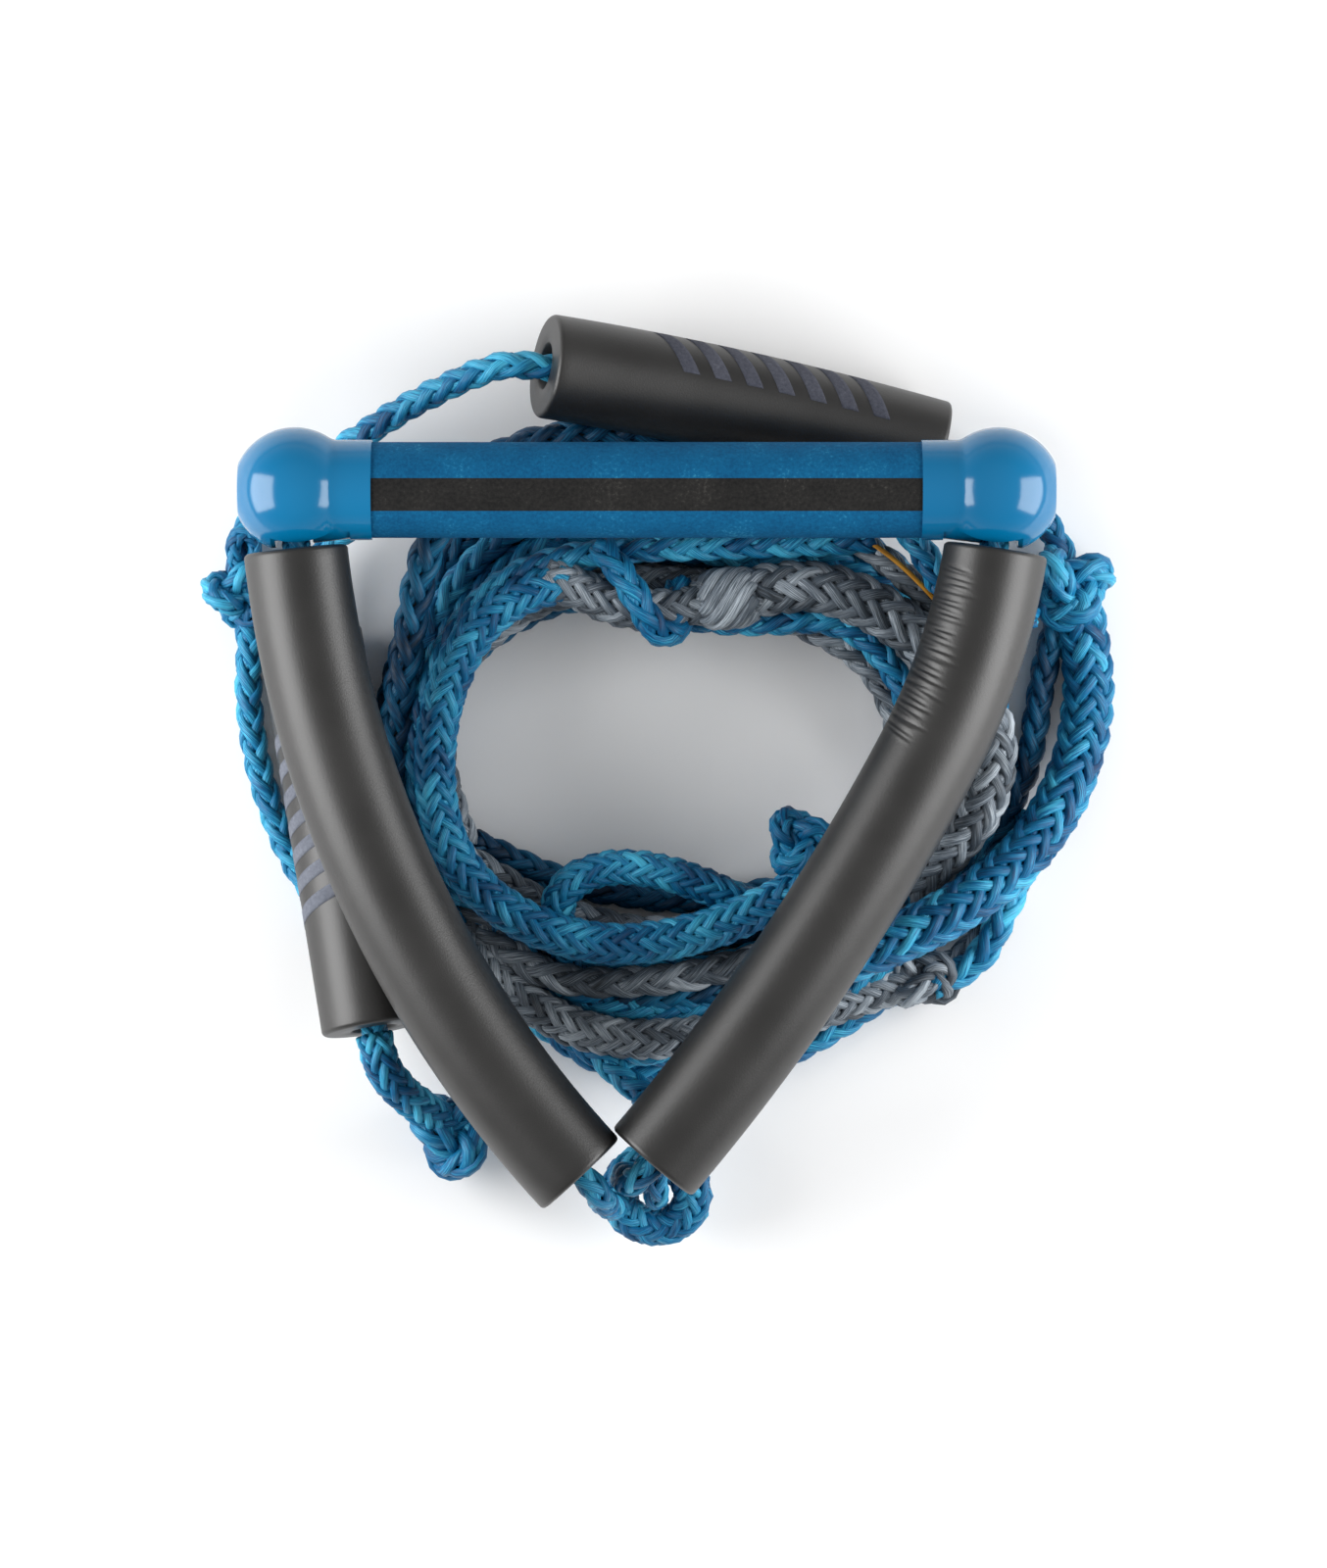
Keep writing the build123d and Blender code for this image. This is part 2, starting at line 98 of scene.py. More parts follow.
# name: (diameter, shade, CAD node it stands for, points)
ROUTES = {
    "left_rope": (THIN, "blue", "left_rope", [
        (-127.6, 48.5, 7), (-126.1, 36.9, 5.2), (-127.3, 20.1, 5.3), (-125.2, 2.7, 5.2),
        (-120.6, -14.9, 5.3), (-113.9, -31.7, 5.2), (-104, -46.9, 5.3), (-90.8, -57.5, 5.2),
        (-75.9, -63, 6.5), (-60.4, -65.7, 9),
    ]),
    "thick_blue_rope": (THICK, "blue", "thick_blue_rope", [
        (135.8, 51, 13), (139.1, 36.3, 9.6), (140.6, 20.1, 9.4), (138, 1.8, 11.5),
        (130.9, -15.9, 18), (117.8, -33.2, 26), (99.5, -47.4, 32.5), (78.2, -58, 34.4),
        (57.4, -66.2, 29),
    ]),
    "thick_grey_rope": (THICK, "grey", "thick_grey_rope", [
        (29.5, 50.7, 32), (46.2, 54.6, 34.3), (64.6, 50.6, 34.2), (83.3, 39.9, 34.3),
        (99.6, 24.7, 34.2), (108.7, 7.9, 34.3), (108, -10.9, 31.5), (97.5, -26.7, 26),
        (82.8, -41.9, 18),
    ]),
    "boat_loop": (12.0, "blue", "boat_loop", [
        (-20.8, -69.7, 11), (-28.5, -57, 18), (-28.2, -42.6, 26), (-15.4, -34.8, 29),
        (0.9, -35.3, 29), (16.8, -40.2, 27), (32.3, -47, 22), (46.4, -55, 15),
    ]),
    "tail_rope": (THIN, "grey", "tail_rope", [
        (121.5, -24, 5.4), (121, -34, 5.2), (115.3, -45, 5.1), (107.5, -56, 5.4),
        (98.3, -66, 7), (87.7, -70.2, 11),
    ]),
    "lead_rope": (THIN, "blue", "lead_rope", [
        (2.8, -108.4, 24), (-6, -104, 19), (-14.8, -95, 15), (-24, -89, 12), (-36, -80, 9),
        (-46, -70, 6.5),
    ]),
    # stretches that lie on the coil
    "grip_edge_rope": (THIN, "blue", None, [
        (71.5, 68, 36), (55, 67, 35.5), (36.5, 66.4, 34.5), (18, 65.8, 34), (0, 65.2, 34),
        (-17, 64, 33), (-32, 61, 32), (-46.5, 54.6, 31), (-59, 41.5, 29), (-68, 25, 27),
        (-72.5, 6, 25), (-72.5, -12.5, 24), (-68, -29.5, 22), (-58, -45, 20),
    ]),
    "splice_rope": (14.0, "blue", None, [
        (-25, 55, 33), (-36, 52.5, 33.5), (-47.5, 46.5, 33), (-57.5, 35, 32), (-63.8, 19.5, 31.5),
        (-66.8, 5, 31), (-67, -9, 31), (-64.8, -22.5, 31), (-58.2, -36.6, 31), (-46.8, -47.6, 31),
        (-31.7, -55.5, 32), (-12, -60, 32), (9, -58, 31.5), (30, -51, 31), (48.7, -41.4, 31),
        (65, -29, 29), (76, -14.3, 26),
    ]),
    "lower_grey_rope": (11.0, "grey", None, [
        (80.7, -47, 17), (67, -54.5, 18), (52, -60, 20), (35, -64.6, 21), (17, -68.8, 21),
        (-3, -72, 21), (-23, -71.6, 20), (-39.6, -66, 18), (-52.4, -56, 15), (-61.5, -43, 12),
    ]),
    # painted shade: this stretch of blue rope gets the darkened yarn because it lies in shadow
    "dark_blue_rope": (THIN, "painted_shade", None, [
        (57.3, -66, 26), (44, -71, 20), (27.4, -74.6, 16), (9, -77, 15), (-10.7, -78, 14),
        (-27.4, -76, 12), (-42.6, -68.2, 9),
    ]),
    "whipped_grey_rope": (13.5, "grey", None, [
        (82, -71.6, 11), (63.3, -77.7, 12.5), (48.7, -82.8, 15), (32, -86.2, 18), (13.7, -89, 19.5),
        (-4.6, -90, 19.5), (-22, -87, 18.5), (-37, -79, 17), (-51, -67, 15), (-62.4, -52, 13),
    ]),
    "outer_blue_rope": (THIN, "blue", None, [
        (93, -65, 6), (74.6, -77, 6), (61.8, -85.6, 6), (46.3, -94, 6.3), (31, -99, 7),
        (12.8, -101, 8), (-4.6, -100.2, 8), (-20.7, -94.7, 7.5), (-35, -84, 7), (-48.7, -70.4, 6),
        (-61, -54.5, 6),
    ]),
    # painted shade: this stretch next to the left float gets the darkened yarn because it lies in shadow
    "left_outer_rope": (11.5, "painted_shade", None, [
        (26, 104, 27), (6, 103, 27), (-14.6, 102, 28), (-33, 99.6, 29), (-48, 94, 31),
        (-60.3, 84.4, 34), (-67.9, 69.4, 33), (-72.8, 51.5, 30), (-77, 27.7, 27), (-79.8, 6.4, 24),
        (-80.4, -12.5, 21), (-77, -30, 19), (-68.8, -47, 16), (-56.6, -61, 13),
    ]),
    # painted shade: this stretch gets the darkened yarn because it lies in shadow
    "right_dark_rope": (THIN, "painted_shade", None, [
        (131, 45.4, 10), (127.3, 33.8, 8), (125, 18.6, 6.5), (122.4, 1.8, 6), (117.3, -13.4, 7),
        (108, -27, 9), (97, -39.3, 11), (83.8, -50, 11),
    ]),
    "corner_rope": (THIN, "blue", None, [
        (68, 78, 36), (79, 73.5, 38.5), (86.5, 65, 40), (91.5, 54.5, 38.5), (99, 46, 34),
        (110, 42, 27), (122, 45, 20),
    ]),
    "edge_blue_rope": (THIN, "blue", None, [
        (-1.5, 44.5, 25), (13.7, 43.5, 27), (29, 42, 28), (44, 42.5, 28), (57, 43, 28),
        (68, 38.5, 28), (76.5, 29, 28), (82.5, 18, 28), (85, 5, 27), (86, -6, 25),
    ]),
    "under_grey_rope": (THIN, "grey", None, [
        (18, 45, 21), (32, 45.5, 21), (45, 43.5, 21.5), (58.5, 37, 22), (70, 29, 22),
        (77, 18, 22.5), (79.5, 6, 22.5), (80.5, -6, 22),
    ]),
    "traced_grey_rope": (THIN, "grey", None, [
        (44, 72.5, 28), (54, 72, 30), (62.5, 70, 32), (71, 64.5, 33.5), (79.5, 58, 33.5), (88, 50, 32),
        (97, 41, 29),
    ]),
    "flat_loop_rope": (10.5, "blue", None, [
        (121, -18, 7), (121, -29, 9.5), (117.5, -40, 13), (112.5, -51, 14.7), (107.5, -62, 13.5),
        (100, -69, 12), (90, -72.5, 13),
    ]),
}

# short strands at the knots. name: (diameter, shade, CAD node it stands for, seed, points)
SHORT_STRANDS = {
    "grey_link": (14.5, "grey", None, 37, [
        (-31.7, 56.3, 33), (-22.8, 53, 33.5), (-12.8, 48.7, 33.5), (-3, 46, 33), (7.3, 46, 32),
        (18, 48.4, 32), (26, 50, 32.5),
    ]),
    "bottom_splice": (12.6, "blue", None, 43, [
        (-85.6, -88, 33.9), (-84.8, -92.5, 34.5), (-82.6, -99.5, 33.9), (-77, -106.5, 29.3),
        (-70, -112, 22), (-63.5, -116.5, 15.5),
    ]),
    "left_bight": (5.6, "blue", None, 47, [
        (-127.5, 57, 9), (-131.2, 62, 10.5), (-131.6, 67.5, 12), (-128.5, 71.2, 13), (-124.8, 69.5, 12),
        (-124.2, 63.5, 10.5), (-127, 57.5, 9),
    ]),
    "blue_hitch": (10.2, "blue", "blue_hitch", 23, [
        (-15, 66, 38), (-10, 60, 41.5), (-4.5, 52, 43.5), (0, 43.5, 42.5), (3.5, 38, 38.5),
        (8.5, 38.6, 34), (11, 46, 32), (10, 55, 30),
    ]),
}

# ---- the coil: turns worked out by a loop ------------------------------------------------------

COIL_CENTRE = (8.2, 2.4)
COIL_REACH = (117, 108, 94, 97, 104, 101, 86, 89, 101, 106, 101, 107)
COIL_HOLE = (67.0, 38.0)
COIL_HOLE_POWER = 3
COIL_START = 205.0  # degrees from +X
COIL_INSET = THIN / 2 + 1.0  # from the coil's edges to the middle of the nearest turn
COIL_LEAST_ROOM = 2.2 * THIN
COIL_LIFT = 0.5  # how much the turns ride up over each other
POINTS_PER_TURN = 16
TURNS = 4
# name: (shade, first turn, last turn, height, lane offset, outward)
COIL_PARTS = {
    # painted shade: the low turns get the darkened blue yarn for the shadow under the turns above them
    "coil_turns_low": ("painted_shade", 0.0, 4.0, 5.2, 0.0, True),
    "coil_turns_high": ("blue", 0.0, 3.0, 14.4, 0.5, False),
    "coil_turns_grey": ("grey", 3.0, 4.0, 14.4, 0.5, False),
}


def place(points):
    """Layout millimetres to frame metres."""
    return (np.array(points, float).reshape(-1, 3) + PLAN_SHIFT) * MM


def unit(vectors):
    return vectors / np.linalg.norm(vectors, axis=-1, keepdims=True)


def smooth_line(points, detail=12):
    """Points down the smooth NURBS curve that has these control points, in metres."""
    curve = bpy.data.curves.new("route", "CURVE")
    curve.dimensions = "3D"
    curve.resolution_u = detail
    spline = curve.splines.new("NURBS")
    spline.points.add(len(points) - 1)
    for control, point in zip(spline.points, points):
        control.co = (*point, 1.0)
    spline.order_u = 3
    spline.use_endpoint_u = True
    holder = bpy.data.objects.new("route", curve)
    mesh = bpy.data.meshes.new_from_object(holder)
    line = np.array([vertex.co for vertex in mesh.vertices], float)
    bpy.data.objects.remove(holder)
    bpy.data.meshes.remove(mesh)
    bpy.data.curves.remove(curve)
    return line


def evenly(line, step):
    """The same line with stations about a step apart."""
    along = np.concatenate([[0], np.cumsum(np.linalg.norm(np.diff(line, axis=0), axis=1))])
    at = np.linspace(0, along[-1], max(4, round(along[-1] / step) + 1))
    return np.stack([np.interp(at, along, line[:, k]) for k in range(3)], axis=1)


def frames_along(line):
    """Tangents and two side directions that don't twist, at each point of a line."""
    tangents = unit(np.gradient(line, axis=0))
    first = np.cross(tangents[0], (0.0, 0.0, 1.0))
    if np.linalg.norm(first) < 1e-3:
        first = np.cross(tangents[0], (1.0, 0.0, 0.0))
    sides = [first / np.linalg.norm(first)]
    for tangent in tangents[1:]:
        side = sides[-1] - tangent * (sides[-1] @ tangent)
        sides.append(side / np.linalg.norm(side))
    sides = np.array(sides)
    return tangents, sides, np.cross(tangents, sides)


def new_object(name, verts, faces, material, smooth=True):
    mesh = bpy.data.meshes.new(name)
    mesh.from_pydata([tuple(v) for v in verts], [], [tuple(f) for f in faces])
    mesh.validate()
    if smooth:
        mesh.shade_smooth()
    mesh.materials.append(material)
    obj = bpy.data.objects.new(name, mesh)
    bpy.context.scene.collection.objects.link(obj)
    return obj


YARN_SIDES = 8
STATION_STEP = 2.1 * MM  # between the sections of a braid's yarns
FINE_FROM = 12.0  # ropes this thick have twice the yarns


def weave_wave(place_in_cycle):
    """Height of a yarn that goes over two and under two, from -1 to 1."""
    return np.clip(1.25 * np.cos(math.pi / 2 * (place_in_cycle - 0.5)), -1, 1)


def yarn_tubes(name, centres, outward, half_width, half_thickness, material, seed, core=None):
    """One mesh of flat yarns, the last of which may be a core with a second material, such as the braids'
    painted-shadow core.

    centres and outward have the shape yarns, stations, 3.
    """
    yarns, stations, _ = centres.shape
    sides = YARN_SIDES
    tangents = unit(np.gradient(centres, axis=1))
    outward = unit(outward - tangents * (outward * tangents).sum(-1, keepdims=True))
    across = np.cross(tangents, outward)
    around = np.arange(sides) * 2 * math.pi / sides
    widths = np.broadcast_to(np.asarray(half_width, float), (yarns,))[:, None, None, None]
    thicknesses = np.broadcast_to(np.asarray(half_thickness, float), (yarns,))[:, None, None, None]
    ring = (
        centres[:, :, None]
        + across[:, :, None] * (widths * np.cos(around)[None, None, :, None])
        + outward[:, :, None] * (thicknesses * np.sin(around)[None, None, :, None])
    )
    verts = ring.reshape(-1, 3)
    first = (np.arange(yarns)[:, None, None] * stations + np.arange(stations - 1)[None, :, None]) * sides
    j = np.arange(sides)[None, None, :]
    k = (j + 1) % sides
    quads = np.stack([first + j, first + k, first + sides + k, first + sides + j], -1).reshape(-1, 4)
    starts = np.arange(yarns)[:, None] * stations * sides
    lids = np.concatenate([
        starts + np.arange(sides)[::-1][None, :],
        starts + (stations - 1) * sides + np.arange(sides)[None, :],
    ])
    mesh = bpy.data.meshes.new(name)
    loops = np.concatenate([quads.ravel(), lids.ravel()])
    mesh.vertices.add(len(verts))
    mesh.vertices.foreach_set("co", verts.ravel())
    mesh.loops.add(len(loops))
    mesh.loops.foreach_set("vertex_index", loops)
    sizes = np.concatenate([np.full(len(quads), 4), np.full(len(lids), sides)])
    mesh.polygons.add(len(sizes))
    mesh.polygons.foreach_set("loop_start", np.concatenate([[0], np.cumsum(sizes)[:-1]]))
    mesh.polygons.foreach_set("loop_total", sizes)
    mesh.update(calc_edges=True)
    mesh.validate()
    mesh.shade_smooth()
    steps = np.linalg.norm(np.diff(centres, axis=1), axis=-1).mean()
    u = np.broadcast_to(np.arange(stations)[None, :, None] * steps / (10 * MM), (yarns, stations, sides))
    random = np.random.default_rng(seed)
    shift = random.random(yarns)[:, None, None] * 20
    u = (u + shift).reshape(-1)
    v = np.broadcast_to((np.arange(sides) / sides)[None, None, :], (yarns, stations, sides)).reshape(-1)
    uv = np.stack([u[loops], v[loops]], -1)
    last = np.zeros(len(loops), bool)
    corner_of_quad = np.arange(len(quads) * 4) % 4
    wraps = (quads[:, [1]] < quads[:, [0]]).repeat(4, axis=1).ravel()
    last[: len(quads) * 4] = wraps & ((corner_of_quad == 1) | (corner_of_quad == 2))
    uv[last, 1] = 1.0
    layer = mesh.uv_layers.new(name="yarn")
    layer.data.foreach_set("uv", uv.astype(np.float32).ravel())
    tint = np.repeat(random.random(yarns), stations * sides)
    attribute = mesh.attributes.new("tint", "FLOAT", "POINT")
    attribute.data.foreach_set("value", tint.astype(np.float32))
    mesh.materials.append(material)
    # the core gets the second material; in the braids this is a very dark yarn painted with shadow
    if core:
        mesh.materials.append(core)
        ends = np.arange(yarns)
        of_yarn = np.concatenate([np.repeat(ends, (stations - 1) * sides), ends, ends])
        mesh.polygons.foreach_set("material_index", (of_yarn == yarns - 1).astype(np.int32))
    obj = bpy.data.objects.new(name, mesh)
    bpy.context.scene.collection.objects.link(obj)
    return obj


def braid(name, line, diameter, material, seed=1):
    """Hollow braid along a line: yarns in two directions that pass over two and under two."""
    fine = diameter >= FINE_FROM
    carriers = 8 if fine else 4
    pitch = (3.4 if fine else 3.6) * diameter * MM
    yarn_half_thickness = (0.088 if fine else 0.13) * diameter * MM
    wave = (0.05 if fine else 0.07) * diameter * MM
    radius = diameter * MM / 2 - yarn_half_thickness - wave
    line = evenly(line, STATION_STEP)
    _, sides, ups = frames_along(line)
    along = np.concatenate([[0], np.cumsum(np.linalg.norm(np.diff(line, axis=0), axis=1))])
    random = np.random.default_rng(seed)
    lean = math.atan(2 * math.pi * radius / pitch)
    half_width = math.pi * radius / carriers * math.cos(lean) * 0.92
    crossings = 2 * carriers * along / pitch
    centres, outward = [], []
    for turn in (1, -1):
        for carrier in range(carriers):
            angle = turn * 2 * math.pi * along / pitch + 2 * math.pi * carrier / carriers
            height = turn * weave_wave(2 * carrier + turn * crossings)
            height = height + 0.15 * random.standard_normal()
            reach = radius + wave * np.clip(height, -1, 1)
            out = sides * np.cos(angle)[:, None] + ups * np.sin(angle)[:, None]
            centres.append(line + out * reach[:, None])
            outward.append(out)
    count = 2 * carriers
    widths = half_width * (1 + 0.06 * random.standard_normal(count))
    thicknesses = yarn_half_thickness * (1 + 0.05 * random.standard_normal(count))
    # a core of very dark yarn fills the braid's hollow: painted shadow for the deep shade seen between the
    # yarns
    core_out = np.broadcast_to(sides, (1, *sides.shape))
    obj = yarn_tubes(
        f"{name}_braid",
        np.concatenate([np.array(centres), line[None]]),
        np.concatenate([np.array(outward), core_out]),
        np.append(widths, radius * 0.8),
        np.append(thicknesses, radius * 0.8),
        material,
        seed,
        SHADOW_YARN,
    )
    return obj, line


# ---- materials ---------------------------------------------------------------------------------


def new_material(name):
    material = bpy.data.materials.new(name)
    material.use_nodes = True
    nodes = material.node_tree.nodes
    return material, nodes, material.node_tree.links, nodes["Principled BSDF"]


def colour(red, green, blue):
    """sRGB from 0 to 255 as a linear colour."""
    values = [c / 255 for c in (red, green, blue)]
    linear = [c / 12.92 if c <= 0.04045 else ((c + 0.055) / 1.055) ** 2.4 for c in values]
    return (*linear, 1.0)


def ramp(nodes, links, factor, stops):
    node = nodes.new("ShaderNodeValToRGB")
    while len(node.color_ramp.elements) < len(stops):
        node.color_ramp.elements.new(0.5)
    for element, (position, shade) in zip(node.color_ramp.elements, stops):
        element.position = position
        element.color = shade
    links.new(factor, node.inputs["Fac"])
    return node.outputs["Color"]


def noise(nodes, links, vector, scale, detail=3.0, roughness=0.5):
    node = nodes.new("ShaderNodeTexNoise")
    node.inputs["Scale"].default_value = scale
    node.inputs["Detail"].default_value = detail
    node.inputs["Roughness"].default_value = roughness
    if vector is not None:
        links.new(vector, node.inputs["Vector"])
    return node.outputs["Fac"]


def bump(nodes, links, height, strength, distance, shader, before=None):
    node = nodes.new("ShaderNodeBump")
    node.inputs["Strength"].default_value = strength
    node.inputs["Distance"].default_value = distance
    links.new(height, node.inputs["Height"])
    if before is not None:
        links.new(before, node.inputs["Normal"])
    links.new(node.outputs["Normal"], shader.inputs["Normal"])
    return node.outputs["Normal"]


def math_node(nodes, links, operation, *values):
    node = nodes.new("ShaderNodeMath")
    node.operation = operation
    for socket, value in zip(node.inputs, values):
        if isinstance(value, (int, float)):
            socket.default_value = value
        else:
            links.new(value, socket)
    return node.outputs["Value"]


def yarn_material(name, dark, middle, light):
    """Silky filament yarn: fine streaks along each yarn, and yarns that differ a little."""
    material, nodes, links, shader = new_material(name)
    uv = nodes.new("ShaderNodeUVMap")
    uv.uv_map = "yarn"
    stretch = nodes.new("ShaderNodeMapping")
    stretch.inputs["Scale"].default_value = (0.6, 16.0, 1.0)
    links.new(uv.outputs["UV"], stretch.inputs["Vector"])
    streaks = noise(nodes, links, stretch.outputs["Vector"], 2.2, 4.0, 0.6)
    tint = nodes.new("ShaderNodeAttribute")
    tint.attribute_name = "tint"
    geometry = nodes.new("ShaderNodeTexCoord")
    patches = noise(nodes, links, geometry.outputs["Object"], 55.0, 2.0)
    mix = math_node(nodes, links, "MULTIPLY_ADD", tint.outputs["Fac"], 0.22, streaks)
    mix = math_node(nodes, links, "MULTIPLY_ADD", patches, 0.45, mix)
    mix = math_node(nodes, links, "SUBTRACT", mix, 0.33)
    base = ramp(nodes, links, mix, [(0.28, dark), (0.5, middle), (0.72, light)])
    links.new(base, shader.inputs["Base Color"])
    shader.inputs["Roughness"].default_value = 0.42
    shader.inputs["Specular IOR Level"].default_value = 0.32
    bump(nodes, links, streaks, 0.55, 0.0004, shader)
    return material


def foam_material(name, dark, light, glow=0.7):
    """Closed-cell foam with a fine skin: small pores, faint mottling and a soft gleam."""
    material, nodes, links, shader = new_material(name)
    where = nodes.new("ShaderNodeTexCoord").outputs["Object"]
    mottle = noise(nodes, links, where, 40.0, 4.0)
    pores = noise(nodes, links, where, 1900.0, 2.0)
    base = ramp(nodes, links, mottle, [(0.35, dark), (0.7, light)])
    links.new(base, shader.inputs["Base Color"])
    rough = math_node(nodes, links, "MULTIPLY_ADD", mottle, 0.08, 0.38)
    links.new(rough, shader.inputs["Roughness"])
    shader.inputs["Specular IOR Level"].default_value = glow
    bump(nodes, links, pores, 0.25, 0.00018, shader)
    return material


def grip_material(name, dark, light, specks):
    """Sanded foam grip: suede-like grain with small lighter specks."""
    material, nodes, links, shader = new_material(name)
    where = nodes.new("ShaderNodeTexCoord").outputs["Object"]
    grain = noise(nodes, links, where, 900.0, 4.0, 0.7)
    patches = noise(nodes, links, where, 70.0, 3.0)
    mixed = math_node(nodes, links, "MULTIPLY_ADD", patches, 0.5, grain)
    mixed = math_node(nodes, links, "SUBTRACT", mixed, 0.25)
    base = ramp(nodes, links, mixed, [(0.3, dark), (0.62, light), (0.8, specks)])
    links.new(base, shader.inputs["Base Color"])
    shader.inputs["Roughness"].default_value = 0.85
    shader.inputs["Specular IOR Level"].default_value = 0.15
    bump(nodes, links, grain, 0.5, 0.0004, shader)
    return material


def gloss_material(name, dark, light, coat=0.6):
    """Glossy moulded plastic with faint flow marks."""
    material, nodes, links, shader = new_material(name)
    where = nodes.new("ShaderNodeTexCoord").outputs["Object"]
    flow = noise(nodes, links, where, 16.0, 2.0)
    base = ramp(nodes, links, flow, [(0.3, dark), (0.7, light)])
    links.new(base, shader.inputs["Base Color"])
    shader.inputs["Roughness"].default_value = 0.16
    shader.inputs["Coat Weight"].default_value = coat
    shader.inputs["Coat Roughness"].default_value = 0.05
    ripple = noise(nodes, links, where, 120.0, 2.0)
    bump(nodes, links, ripple, 0.02, 0.0002, shader)
    return material


def metal_material(name):
    material, nodes, links, shader = new_material(name)
    where = nodes.new("ShaderNodeTexCoord").outputs["Object"]
    lines = noise(nodes, links, where, 400.0, 2.0)
    base = ramp(nodes, links, lines, [(0.3, colour(150, 154, 158)), (0.7, colour(190, 193, 196))])
    links.new(base, shader.inputs["Base Color"])
    shader.inputs["Metallic"].default_value = 1.0
    shader.inputs["Roughness"].default_value = 0.35
    return material


YARN = {
    "blue": yarn_material("rope_blue", colour(0, 48, 88), colour(0, 104, 152), colour(76, 188, 222)),
    # painted shade: a darker copy of the blue yarn, for stretches of blue rope that lie in shadow
    "painted_shade": yarn_material("rope_blue_painted_shade", colour(0, 24, 44), colour(0, 62, 98), colour(26, 116, 156)),
    "grey": yarn_material("rope_grey", colour(34, 40, 46), colour(92, 102, 112), colour(182, 192, 200)),
}
# painted shadow: near-black yarn for the braid cores, standing in for the deep shade between the yarns
SHADOW_YARN = yarn_material("rope_painted_shadow_core", colour(0, 12, 20), colour(2, 24, 36), colour(8, 46, 64))
FOAM = foam_material("foam_black", colour(22, 21, 20), colour(33, 32, 31))
PRINT = grip_material("foam_print", colour(92, 96, 106), colour(108, 112, 122), colour(124, 128, 138))
PRINT_DARK = grip_material("foam_print_dark", colour(66, 68, 78), colour(80, 82, 92), colour(96, 98, 108))
GRIP_BLUE = grip_material("grip_blue", colour(2, 74, 116), colour(8, 94, 138), colour(50, 134, 168))
GRIP_BLACK = grip_material("grip_black", colour(24, 24, 24), colour(40, 39, 38), colour(66, 65, 62))
GRIP_LINE = grip_material("grip_line", colour(120, 142, 140), colour(150, 170, 168), colour(170, 185, 180))
CORE = foam_material("core_foam", colour(196, 194, 186), colour(220, 218, 210))
CAP = gloss_material("cap_blue", colour(0, 100, 146), colour(0, 114, 162), 0.1)
PLUG = gloss_material("plug_black", colour(24, 24, 26), colour(36, 36, 38), 0.1)
METAL = metal_material("tube_aluminium")
TRACER = yarn_material("tracer_thread", colour(96, 56, 8), colour(176, 118, 24), colour(222, 170, 70))

# ---- rope --------------------------------------------------------------------------------------


def finish_rope(obj, body, node):
    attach(obj, body)
    if node:
        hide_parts(node)


def rope_cord(name, points, diameter, shade, body="rope", node=None):
    """A stretch of rope as one braided piece, between two places on the object."""
    line = smooth_line(place(points))
    obj, path = braid(name, line, diameter, YARN[shade], seed=len(name) + round(diameter))
    finish_rope(obj, body, node)
    return obj


def coil_edges(angle):
    """Distance of the coil's inner and outer edges from its centre in one direction."""
    sides = [abs(math.cos(angle)) / COIL_HOLE[0], abs(math.sin(angle)) / COIL_HOLE[1]]
    inner = sum(side**COIL_HOLE_POWER for side in sides) ** (-1 / COIL_HOLE_POWER)
    steps = len(COIL_REACH)
    spot = angle / (2 * math.pi) * steps
    index = math.floor(spot)
    share = spot - index
    share = share * share * (3 - 2 * share)
    outer = COIL_REACH[index % steps] * (1 - share) + COIL_REACH[(index + 1) % steps] * share
    return inner, outer


def coil_points(first, last, height, lane_offset, outward):
    """Control points of some of the coil's turns, which fan out where nothing ties them."""
    count = round((last - first) * POINTS_PER_TURN)
    points = []
    for step in range(count + 1):
        turn = first + (last - first) * step / count
        angle = math.radians(COIL_START) + 2 * math.pi * turn
        inner, outer = coil_edges(angle)
        lane = turn if outward else TURNS - turn
        lane = (lane + lane_offset) / (TURNS + lane_offset)
        lane = lane + 0.035 * math.sin(5.3 * turn + 0.6)
        room = max(outer - inner - 2 * COIL_INSET, COIL_LEAST_ROOM)
        distance = inner + COIL_INSET + min(max(lane, 0.0), 1.0) * room
        lift = COIL_LIFT * math.sin(3.1 * math.pi * turn + 1.1)
        points.append((
            COIL_CENTRE[0] + distance * math.cos(angle),
            COIL_CENTRE[1] + distance * math.sin(angle),
            height + max(lift, 0.0),
        ))
    return points


def make_coil():
    cords = []
    for name, (shade, first, last, height, offset, outward) in COIL_PARTS.items():
        node = "coil" if not cords else None
        points = coil_points(first, last, height, offset, outward)
        cords.append(rope_cord(name, points, THIN, shade, node=node))
    return cords


def arc_through(line, count):
    """Points along the circle through three points."""
    a, b, c = (np.array(p, float) for p in line)
    normal = np.cross(b - a, c - a)
    system = np.array([b - a, c - a, normal])
    right = np.array([(b @ b - a @ a) / 2, (c @ c - a @ a) / 2, normal @ a])
    centre = np.linalg.solve(system, right)
    radius = np.linalg.norm(a - centre)
    x_axis = (a - centre) / radius
    y_axis = np.cross(normal / np.linalg.norm(normal), x_axis)
    end = math.atan2((c - centre) @ y_axis, (c - centre) @ x_axis) % (2 * math.pi)
    angles = np.linspace(0, end, count)
    return centre + radius * (np.cos(angles)[:, None] * x_axis + np.sin(angles)[:, None] * y_axis)


